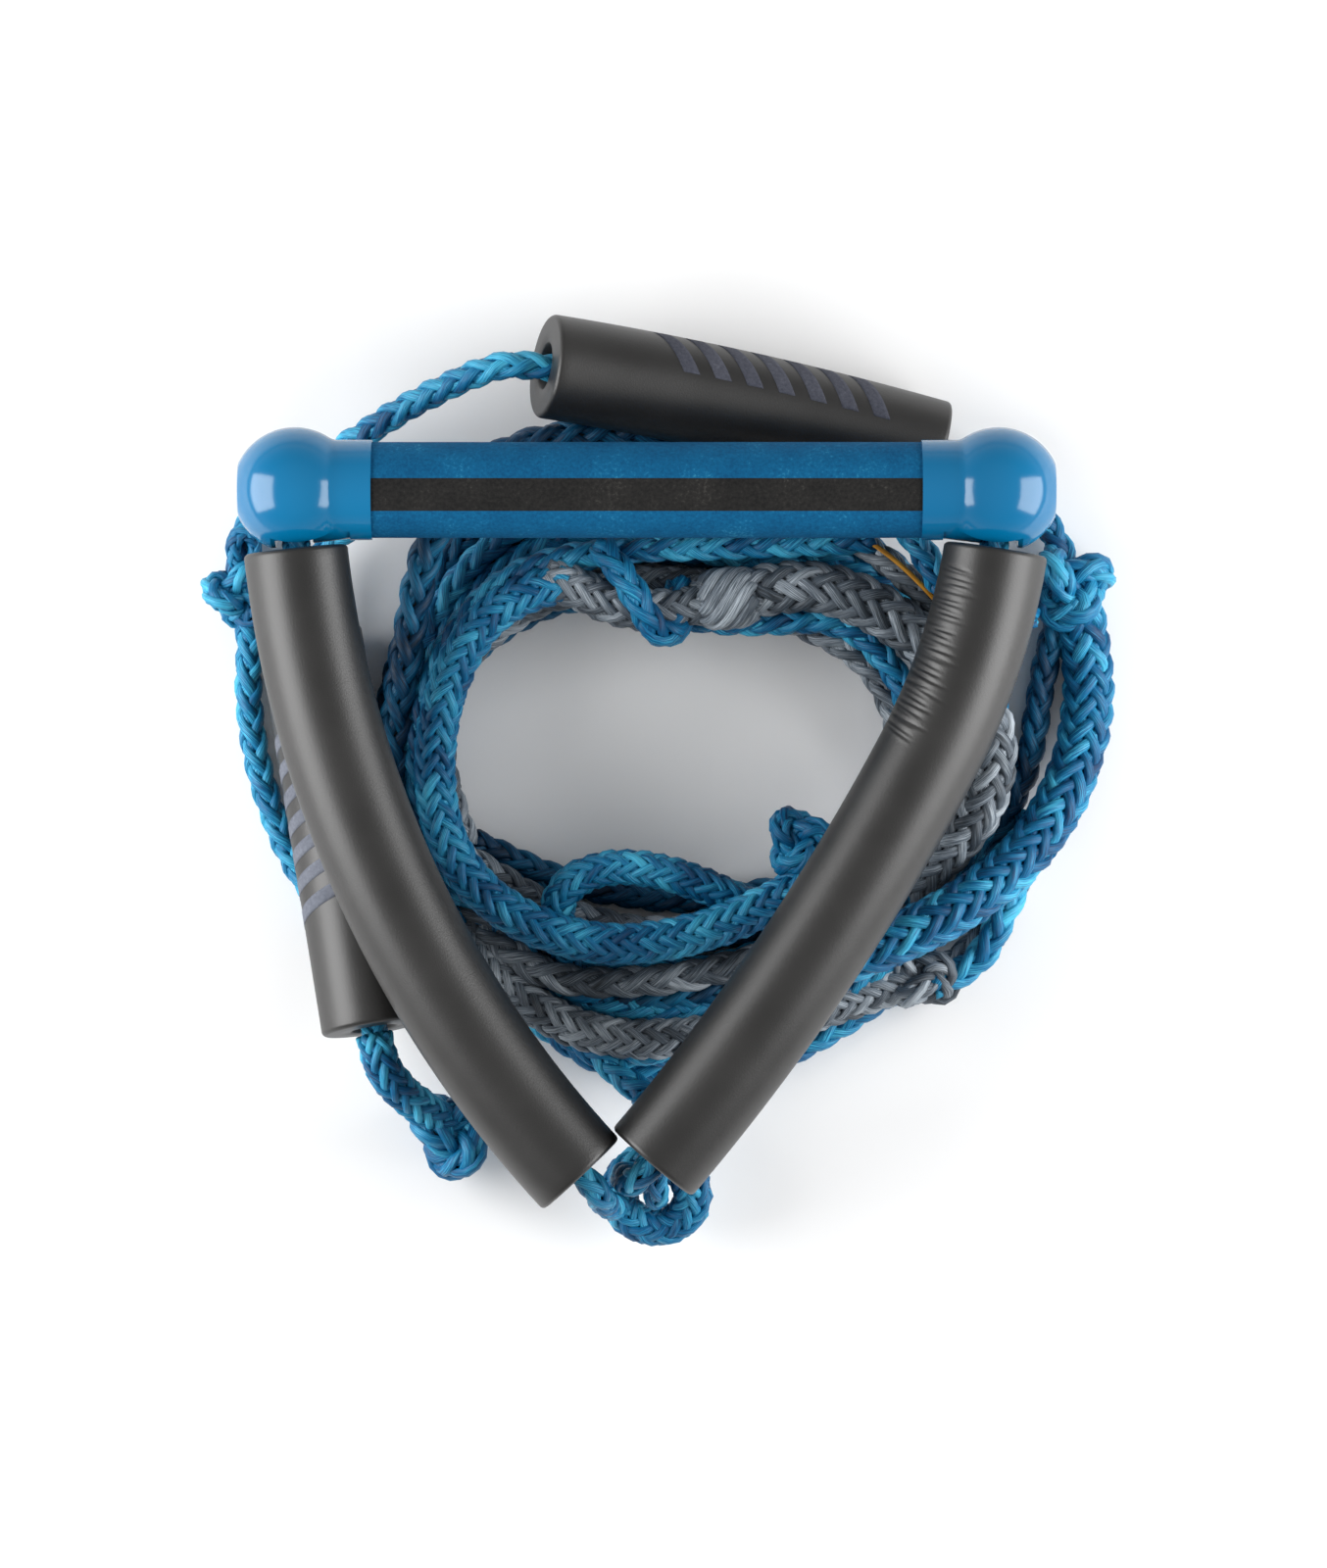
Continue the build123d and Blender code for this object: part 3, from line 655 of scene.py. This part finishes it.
def line_float_ropes():
    """The two long stretches that thread the floats on the main rope."""
    arc = arc_through(TOP_FLOAT_LINE, 12)
    start = arc[0] - unit(arc[1] - arc[0]) * FLOAT_TRAVEL
    inside = [start, arc[3], arc[7], arc[11]]
    top = [*TOP_ROPE_START, *inside, *TOP_ROPE_END]
    rope_cord("top_float_rope", top, THIN, "blue", node="top_float_rope")
    upper, lower = (np.array(p) for p in SIDE_FLOAT_LINE)
    overrun = unit(lower - upper) * FLOAT_TRAVEL
    middle = [upper - overrun, upper * 0.62 + lower * 0.38, upper * 0.3 + lower * 0.7, lower + overrun]
    side = [*SIDE_ROPE_START, *middle, *SIDE_ROPE_END]
    rope_cord("side_float_rope", side, THIN, "blue", node="side_float_rope")


# ---- knots and wraps ---------------------------------------------------------------------------


def axes_along(direction, roll):
    forward = unit(np.array(direction, float))
    side = unit(np.cross(forward, (0.0, 0.0, 1.0)))
    up = np.cross(side, forward)
    turned = side * math.cos(roll) + up * math.sin(roll)
    return forward, turned, np.cross(forward, turned)


def knot(name, centre, size, depth, rope, direction, roll, shade, node, seed):
    """Overhand knot drawn tight: a trefoil of rope, wider than it is thick."""
    x_axis, y_axis, z_axis = axes_along(direction, roll)
    k = (size - rope / 2) / 3.0
    lift = depth - rope / 2
    points = []
    for t in np.linspace(0, 2 * math.pi, 27):
        x = math.sin(t) + 2 * math.sin(2 * t)
        y = math.cos(t) - 2 * math.cos(2 * t)
        z = -math.sin(3 * t)
        points.append(np.array(centre) + x_axis * x * k + y_axis * y * k + z_axis * z * lift)
    obj, _ = braid(name, smooth_line(place(points), 8), rope, YARN[shade], seed=seed)
    finish_rope(obj, "rope", node)
    return obj


def wrap(name, centre, direction, radius, half_length, yarn, turns, shade, node, seed):
    """Tight turns of loose yarns round a rope."""
    forward, side, up = axes_along(direction, 0.0)
    strands, stations = 9, 40
    share = np.linspace(0, 1, stations)
    centres, outward = [], []
    for layer, sign in ((0, 1), (1, -1)):
        for strand in range(strands):
            angle = sign * 2 * math.pi * turns * share + strand * 2 * math.pi / strands + 0.4 * layer
            out = side * np.cos(angle)[:, None] + up * np.sin(angle)[:, None]
            swell = 1 - 0.25 * (2 * share - 1) ** 4
            reach = (radius - yarn * (1.1 - 0.6 * layer)) * swell
            shift = (2 * share - 1) * half_length
            centres.append(place(np.array(centre) + out * reach[:, None] + forward * shift[:, None]))
            outward.append(out)
    obj = yarn_tubes(
        f"{name}_yarns", np.array(centres), np.array(outward), yarn * 0.6 * MM, yarn * 0.4 * MM,
        YARN[shade], seed,
    )
    finish_rope(obj, "rope", node)
    return obj


def make_knots():
    knot("right_knot", (134.6, 54.0, 13.4), 16.0, 10.6, 10.2, (0.2, -1, 0.0), 0.5, "blue", "right_knot", 3)
    knot("left_knot", (-130.2, 51.6, 10.0), 12.6, 8.6, 8.0, (0.1, 1, 0), -0.35, "blue", "left_knot", 5)
    knot("bottom_left_knot", (-61.0, -119.0, 13.6), 16.6, 10.6, 11.0, (0.5, -0.8, 0), 0.2, "blue",
         "bottom_left_knot", 7)
    knot("dark_knot", (48.0, -27.0, 30.8), 13.0, 7.6, 8.2, (1, 0.55, 0), 0.25, "blue", "dark_knot", 11)
    knot("hitch_knot", (2.8, -109.9, 28), 8.0, 6.6, 6.0, (0, 1, 0), 0.0, "blue", "hitch_knot", 13)
    knot("lower_grey_knot", (87.0, -69.8, 12.0), 13.5, 8.8, 9.0, (1, 0.35, 0), 0.4, "grey",
         "lower_grey_knot", 17)
    wrap("grey_whipping", (25.5, 49.6, 33.5), (1, 0.1, 0.0), 10.4, 8.2, 3.4, 0.4, "grey", "grey_whipping", 19)
    for name, (diameter, shade, node, seed, points) in SHORT_STRANDS.items():
        obj, _ = braid(name, smooth_line(place(points)), diameter, YARN[shade], seed=seed)
        finish_rope(obj, "rope", node)


def tracer_thread():
    """Ochre marker yarn laid on one grey stretch of the rope."""
    route = [(66, 69.5, 38), (72, 66, 38.9), (79, 60.5, 39), (86, 54, 38), (92, 47.5, 36.4)]
    line = evenly(smooth_line(place(route)), 1.2 * MM)
    upward = np.broadcast_to((0.0, 0.0, 1.0), (1, *line.shape))
    obj = yarn_tubes("tracer_thread_yarns", line[None], upward, 0.8 * MM, 0.55 * MM, TRACER, 53)
    finish_rope(obj, "rope", None)


# ---- bridle ------------------------------------------------------------------------------------


def leg_point(side, distance):
    """Point and direction on one leg of the bridle, a distance from its ball."""
    sign = 1 if side == "left" else -1
    x, y, heading = -sign * LEG_X, BAR_PLAN_Y, LEG_HEADING[side]
    for radius, turn in LEG_ARCS[side]:
        step = min(turn, math.degrees(distance / radius))
        distance -= radius * math.radians(step)
        before, after = math.radians(heading), math.radians(heading + step)
        x += sign * radius * (math.cos(before) - math.cos(after))
        y -= radius * (math.sin(after) - math.sin(before))
        heading += step
        if distance < 1e-6:
            break
    angle = math.radians(heading)
    return np.array([x, y, BAR_Z]), np.array([sign * math.sin(angle), -math.cos(angle), 0.0])


def leg_length(side):
    return sum(radius * math.radians(turn) for radius, turn in LEG_ARCS[side])


def eye_point(angle):
    slope, turn = math.radians(EYE_SLOPE), math.radians(angle)
    up = np.array([0, math.cos(slope), math.sin(slope)])
    return EYE_TOP - up * EYE_R + np.array([EYE_R * math.cos(turn), 0, 0]) + up * EYE_R * math.sin(turn)


def make_bridle_ropes():
    for side in ("left", "right"):
        length = leg_length(side)
        along = [leg_point(side, length * share)[0] for share in np.linspace(0, 1, 9)]
        points = [*along, *BRIDLE_DROP[side], eye_point(EYE_SHOULDER[side])]
        rope_cord(
            f"bridle_rope_{side}", points, THIN, "blue", "bridle", f"bridle_rope_{side}"
        )


def make_eye():
    """Thick spliced eye at the bridle's end, and the main rope's loop through it."""
    ring = [eye_point(angle) for angle in np.linspace(90, 450, 21)]
    obj, _ = braid("bridle_eye", smooth_line(place(ring)), 2 * EYE_ROPE_R, YARN["blue"], seed=29)
    finish_rope(obj, "bridle", "bridle_eye")
    loop = [
        EYE_TOP + EYE_R * np.array([0, math.cos(a), math.sin(a)])
        for a in np.linspace(-math.pi / 2, 1.5 * math.pi, 19)
    ]
    obj, _ = braid("hitch_loop", smooth_line(place(loop)), HITCH_DIAMETER, YARN["blue"], seed=31)
    finish_rope(obj, "rope", "hitch_loop")


# ---- foam floats -------------------------------------------------------------------------------

AROUND = 96  # points round a float
BORE_CHAMFER = 0.5
SMOOTH_STEP = 2.5  # between a plain float's sections
WRINKLED_STEP = 0.45


def foam_profile(length, radius, bore, rim, step):
    """Closed section of a float as distance along and radius: end face, rim, outside, rim, end face, bore."""
    arc = np.linspace(0, math.pi / 2, 6)
    front = [(rim * (1 - math.sin(a)), radius - rim * (1 - math.cos(a))) for a in arc[::-1]]
    rows = max(3, round((length - 2 * rim) / step))
    middle = [(s, radius) for s in np.linspace(rim, length - rim, rows)[1:-1]]
    back = [(length - s, r) for s, r in front[::-1]]
    face_middle = (bore + radius - rim) / 2
    bore_edge = bore + BORE_CHAMFER
    front_face = [(0.0, bore_edge), (0.0, face_middle)]
    back_face = [(length, face_middle), (length, bore_edge)]
    inside = [(length - BORE_CHAMFER, bore), (length * 0.6, bore), (length * 0.3, bore), (BORE_CHAMFER, bore)]
    return [*front_face, *front, *middle, *back, *back_face, *inside]


def foam_float(name, stations, length, radius, bore, body, node, wrinkles=()):
    """Foam tube swept along stations(distance) -> (centre, side, up)."""
    profile = foam_profile(length, radius, bore, FLOAT_RIM, WRINKLED_STEP if wrinkles else SMOOTH_STEP)
    angles = np.arange(AROUND) * 2 * math.pi / AROUND
    rows = []
    for s, r in profile:
        centre, side, up = stations(s)
        out = np.cos(angles)[:, None] * side + np.sin(angles)[:, None] * up
        reach = np.full(AROUND, r)
        if r > radius - 0.3:
            for spot, angle, half_width, depth, slant in wrinkles:
                away = (angles - angle + math.pi) % (2 * math.pi) - math.pi
                window = np.clip(1 - (away / half_width) ** 2, 0, 1)
                offset = s - spot - slant * away
                fold = np.exp(-((offset / 0.5) ** 2)) - 0.4 * np.exp(-(((offset - 0.9) / 0.7) ** 2))
                reach -= depth * window * fold
        rows.append(centre + out * reach[:, None])
    verts = place(np.array(rows).reshape(-1, 3))
    count = len(profile)
    i = np.arange(count)[:, None] * AROUND
    nxt = (np.arange(count)[:, None] + 1) % count * AROUND
    j = np.arange(AROUND)[None, :]
    k = (j + 1) % AROUND
    faces = np.stack([i + j, nxt + j, nxt + k, i + k], -1).reshape(-1, 4)
    obj = new_object(f"{name}_foam", verts, faces, FOAM)
    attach(obj, body)
    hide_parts(node)
    return obj


def leg_stations(side):
    def stations(s):
        point, direction = leg_point(side, FLOAT_START + s)
        return point, np.cross(direction, (0, 0, 1.0)), np.array([0, 0, 1.0])

    return stations


def line_stations(points):
    line = np.array(points, float)
    tangents = unit(np.gradient(line, axis=0))
    along = np.concatenate([[0], np.cumsum(np.linalg.norm(np.diff(line, axis=0), axis=1))])

    def stations(s):
        point = np.array([np.interp(s, along, line[:, k]) for k in range(3)])
        tangent = unit(np.array([np.interp(s, along, tangents[:, k]) for k in range(3)]))
        side = unit(np.cross(tangent, (0, 0, 1.0)))
        return point, side, np.cross(side, tangent)

    return stations, along[-1]


PRINT_LAYERS = (0.14, -0.25)  # the print's outside and inside, above the surface


def printed_bars(name, stations, radius, bars, body, material):
    """Thin bars laid on a round surface: each is (start, width, first angle, last angle, slant)."""
    verts, faces = [], []
    steps_along, steps_round = 4, 16
    for start, width, first, last, slant in bars:
        base = len(verts)
        for height in PRINT_LAYERS:
            for a in range(steps_along + 1):
                for b in range(steps_round + 1):
                    angle = math.radians(first + (last - first) * b / steps_round)
                    s = start + width * a / steps_along + slant * (b / steps_round)
                    centre, side, up = stations(s)
                    out = math.cos(angle) * side + math.sin(angle) * up
                    verts.append(centre + out * (radius + height))
        row = steps_round + 1
        layer_size = (steps_along + 1) * row
        for a in range(steps_along):
            for b in range(steps_round):
                p = base + a * row + b
                faces.append((p, p + 1, p + row + 1, p + row))
                q = p + layer_size
                faces.append((q, q + row, q + row + 1, q + 1))
        rim = [base + b for b in range(row)]
        rim += [base + a * row + steps_round for a in range(1, steps_along + 1)]
        rim += [base + steps_along * row + b for b in range(steps_round - 1, -1, -1)]
        rim += [base + a * row for a in range(steps_along - 1, 0, -1)]
        for here, there in zip(rim, rim[1:] + rim[:1]):
            faces.append((here, here + layer_size, there + layer_size, there))
    obj = new_object(name, place(verts), faces, material)
    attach(obj, body)
    return obj


def make_floats():
    random = np.random.default_rng(41)
    creases = []
    for spot in np.linspace(8, 66, 34):
        creases.append((
            spot + random.uniform(-0.6, 0.6),
            math.radians(random.uniform(26, 50)),
            random.uniform(0.34, 0.66),
            random.uniform(0.16, 0.38),
            random.uniform(0.2, 2.6),
        ))
    for side in ("left", "right"):
        foam_float(
            f"bridle_float_{side}", leg_stations(side), leg_length(side) - FLOAT_START, FLOAT_R,
            FLOAT_BORE_R, "bridle", f"bridle_float_{side}", creases if side == "right" else (),
        )
    top, top_length = line_stations(arc_through(TOP_FLOAT_LINE, 40))
    foam_float("top_float", top, top_length, LINE_FLOAT_R, LINE_FLOAT_BORE_R, "top_float", "top_float")
    side, side_length = line_stations(np.linspace(*np.array(SIDE_FLOAT_LINE), 9))
    foam_float("side_float", side, side_length, LINE_FLOAT_R, LINE_FLOAT_BORE_R, "side_float", "side_float")
    bars = [(32 + 10.6 * i, 5.4, 168, 108, 9.0) for i in range(7)]
    printed_bars("top_float_print", top, LINE_FLOAT_R, bars, "top_float", PRINT_DARK)
    bars = [(35 + 9.1 * i, 4.6, -15, 98, -10.0) for i in range(7)]
    printed_bars("side_float_print", side, LINE_FLOAT_R, bars, "side_float", PRINT)


# ---- handle ------------------------------------------------------------------------------------

EDGE_LINE_ANGLES = (78.0, 118.0)  # degrees round the grip, of the black strip's light edges
EDGE_LINE_HALF = 1.7


def grip_stations(s):
    return np.array([s - GRIP_HALF, BAR_PLAN_Y, BAR_Z]), np.array([0, 1.0, 0]), np.array([0, 0, 1.0])


def dress_handle():
    looks = {
        "grip_sleeve": GRIP_BLUE, "grip_stripe": GRIP_BLACK, "cap_left": CAP, "cap_right": CAP,
        "end_plug_left": PLUG, "end_plug_right": PLUG, "foam_core": CORE, "handle_tube": METAL,
        "stopper_knot_left": YARN["blue"], "stopper_knot_right": YARN["blue"],
    }
    for node, material in looks.items():
        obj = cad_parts[node]
        obj.data.materials.clear()
        obj.data.materials.append(material)

    edges = [
        (0.0, 2 * GRIP_HALF, angle - EDGE_LINE_HALF, angle + EDGE_LINE_HALF, 0.0)
        for angle in EDGE_LINE_ANGLES
    ]
    printed_bars("grip_edge_lines", grip_stations, GRIP_R, edges, "handle", GRIP_LINE)


# ---- picture -----------------------------------------------------------------------------------

PICTURE_CENTRE = (5.2, 0.0)
PICTURE_HEIGHT = 487.3
CAMERA_DISTANCE = 2300.0
SENSOR = 36.0


def make_camera():
    data = bpy.data.cameras.new("camera")
    data.sensor_width = SENSOR
    data.lens = SENSOR * CAMERA_DISTANCE / PICTURE_HEIGHT
    camera = bpy.data.objects.new("camera", data)
    camera.location = (PICTURE_CENTRE[0] * MM, PICTURE_CENTRE[1] * MM, (BAR_Z + CAMERA_DISTANCE) * MM)
    data.clip_end = 10.0
    bpy.context.scene.collection.objects.link(camera)
    bpy.context.scene.camera = camera


def area_light(name, location, target, size, power, tint=(1, 1, 1)):
    data = bpy.data.lights.new(name, "AREA")
    data.shape = "RECTANGLE"
    data.size, data.size_y = size
    data.energy = power
    data.color = tint
    light = bpy.data.objects.new(name, data)
    light.location = location
    aim = Vector(target) - Vector(location)
    light.rotation_euler = aim.to_track_quat("-Z", "Y").to_euler()
    bpy.context.scene.collection.objects.link(light)


def make_stage():
    floor_material, nodes, links, shader = new_material("floor_paper")
    where = nodes.new("ShaderNodeTexCoord").outputs["Object"]
    cloud = noise(nodes, links, where, 3.0, 2.0)
    base = ramp(nodes, links, cloud, [(0.2, colour(246, 246, 246)), (0.8, colour(250, 250, 250))])
    links.new(base, shader.inputs["Base Color"])
    shader.inputs["Roughness"].default_value = 0.9
    half = 3.0
    floor = new_object(
        "floor", [(-half, -half, 0), (half, -half, 0), (half, half, 0), (-half, half, 0)],
        [(0, 1, 2, 3)], floor_material, smooth=False,
    )
    world = bpy.data.worlds.new("studio")
    bpy.context.scene.world = world
    world.use_nodes = True
    nodes, links = world.node_tree.nodes, world.node_tree.links
    height = nodes.new("ShaderNodeSeparateXYZ")
    links.new(nodes.new("ShaderNodeTexCoord").outputs["Generated"], height.inputs["Vector"])
    sky = ramp(nodes, links, height.outputs["Z"], [
        (0.0, (0.8, 0.8, 0.8, 1)), (0.2, (0.45, 0.45, 0.45, 1)), (0.5, (0.3, 0.3, 0.3, 1)),
        (1.0, (0.42, 0.42, 0.42, 1)),
    ])
    links.new(sky, nodes["Background"].inputs["Color"])
    nodes["Background"].inputs["Strength"].default_value = 1.0
    area_light("softbox_left", (-0.62, 0.02, 0.34), (0, 0, 0.03), (0.62, 0.5), 6.6)
    area_light("softbox_right", (0.62, -0.02, 0.34), (0, 0, 0.03), (0.62, 0.5), 6.0)
    bpy.context.scene.view_settings.view_transform = "Standard"
    bpy.context.scene.view_settings.look = "None"


# ---- build -------------------------------------------------------------------------------------

make_camera()
make_coil()
line_float_ropes()
for rope_name, (width, shade, node, points) in ROUTES.items():
    rope_cord(rope_name, points, width, shade, node=node)
make_knots()
tracer_thread()
make_bridle_ropes()
make_eye()
make_floats()
dress_handle()
make_stage()
